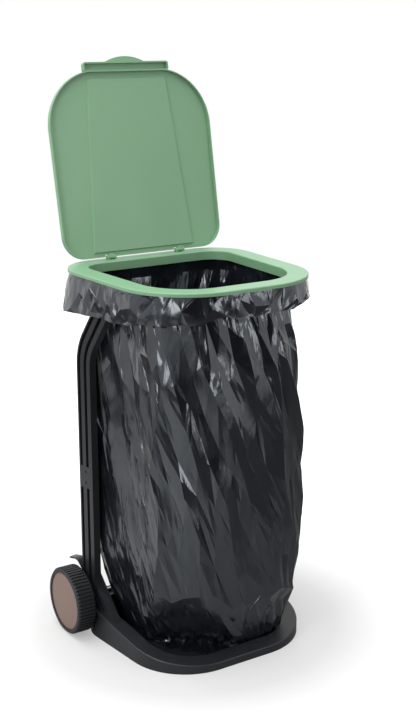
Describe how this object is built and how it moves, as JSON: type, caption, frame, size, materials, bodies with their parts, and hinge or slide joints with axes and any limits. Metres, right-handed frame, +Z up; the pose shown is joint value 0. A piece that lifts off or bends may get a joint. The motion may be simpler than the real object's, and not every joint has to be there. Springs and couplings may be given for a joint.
{
  "type": "bin bag holder",
  "caption": "Wheeled upright stand that holds a large open plastic bag under a clamp ring with a hinged lid, on a sloping base tray.",
  "frame": {"origin": "on the floor, under the middle of the whole outline with the lid open", "axes": "+Z up, X from side to side, -Y to the front where the lid's thumb tab is"},
  "size_m": [0.558, 0.5405, 1.3117],
  "materials": {
    "black_plastic": "satin moulded plastic",
    "green_plastic": "satin moulded plastic",
    "wheel_plastic": "matt moulded plastic",
    "brown_plastic": "satin moulded plastic",
    "steel": "zinc plated",
    "screw_steel": "blackened steel",
    "film": "glossy thin film"
  },
  "bodies": {
    "stand": {"base_tray": "black_plastic", "left_post_lower": "black_plastic", "right_post_lower": "black_plastic", "left_post_upper": "black_plastic", "right_post_upper": "black_plastic", "left_post_joiner": "black_plastic", "right_post_joiner": "black_plastic", "bag_frame": "black_plastic", "clamp_ring": "green_plastic", "left_hinge_pin": "steel", "right_hinge_pin": "steel", "axle": "steel", "left_push_nut": "steel", "right_push_nut": "steel", "joint_screws": "screw_steel", "foot_screws": "screw_steel", "frame_screws": "screw_steel", "bin_bag": "film"},
    "lid": {"lid": "green_plastic"},
    "left_wheel": {"left_wheel": "wheel_plastic", "left_hub_cap": "brown_plastic"},
    "right_wheel": {"right_wheel": "wheel_plastic", "right_hub_cap": "brown_plastic"}
  },
  "joints": [
    {"name": "lid_hinge", "type": "hinge", "parent": "stand", "child": "lid", "pos_m": [0, 0.17815, 0.8655], "axis": [1, 0, 0], "range_deg": [0, 101]},
    {"name": "left_wheel_spin", "type": "hinge", "parent": "stand", "child": "left_wheel", "pos_m": [-0.2565, 0.10015, 0.079], "axis": [1, 0, 0], "continuous": true},
    {"name": "right_wheel_spin", "type": "hinge", "parent": "stand", "child": "right_wheel", "pos_m": [0.2565, 0.10015, 0.079], "axis": [1, 0, 0], "continuous": true}
  ]
}
